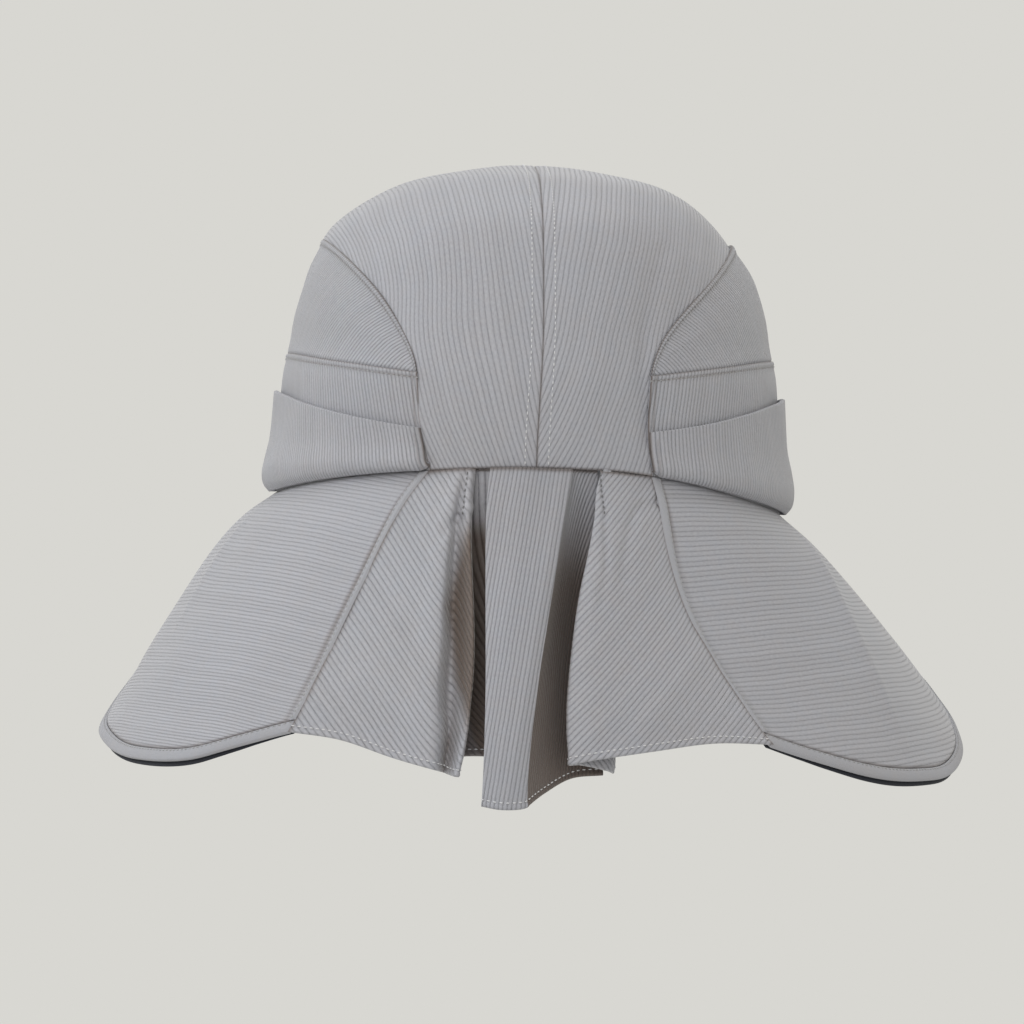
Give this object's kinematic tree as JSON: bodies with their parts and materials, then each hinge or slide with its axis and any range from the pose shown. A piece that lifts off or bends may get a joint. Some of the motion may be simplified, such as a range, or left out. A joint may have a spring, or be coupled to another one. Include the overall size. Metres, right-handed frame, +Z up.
{
  "type": "wide-brim sun hat with a neck cape",
  "caption": "Soft grey sun hat with a panelled crown, folded side bands, a steep brim bound along its edge and a pleated neck cape.",
  "frame": {"origin": "centre of the head opening, level with the bottom seam at the sides", "axes": "+Z up, +Y towards the wearer's face, +X towards the wearer's right"},
  "size_m": [0.3088, 0.3342, 0.2213],
  "materials": {
    "ribbed_cloth": "matt ribbed stretch cloth with a faint sheen",
    "smooth_trim": "matt fine plain weave",
    "dark_lining": "matt dark cloth"
  },
  "bodies": {
    "root": {"crown_panel_left": "ribbed_cloth", "crown_panel_right": "ribbed_cloth", "side_panel_left": "ribbed_cloth", "side_panel_right": "ribbed_cloth", "side_inset_left": "ribbed_cloth", "side_inset_right": "ribbed_cloth", "side_band_left": "ribbed_cloth", "side_band_right": "ribbed_cloth", "brim": "ribbed_cloth", "brim_lining": "dark_lining", "brim_binding": "smooth_trim", "brim_welt_left": "smooth_trim", "brim_welt_right": "smooth_trim", "cape_left": "ribbed_cloth", "cape_centre": "ribbed_cloth", "cape_right": "ribbed_cloth"}
  },
  "joints": []
}
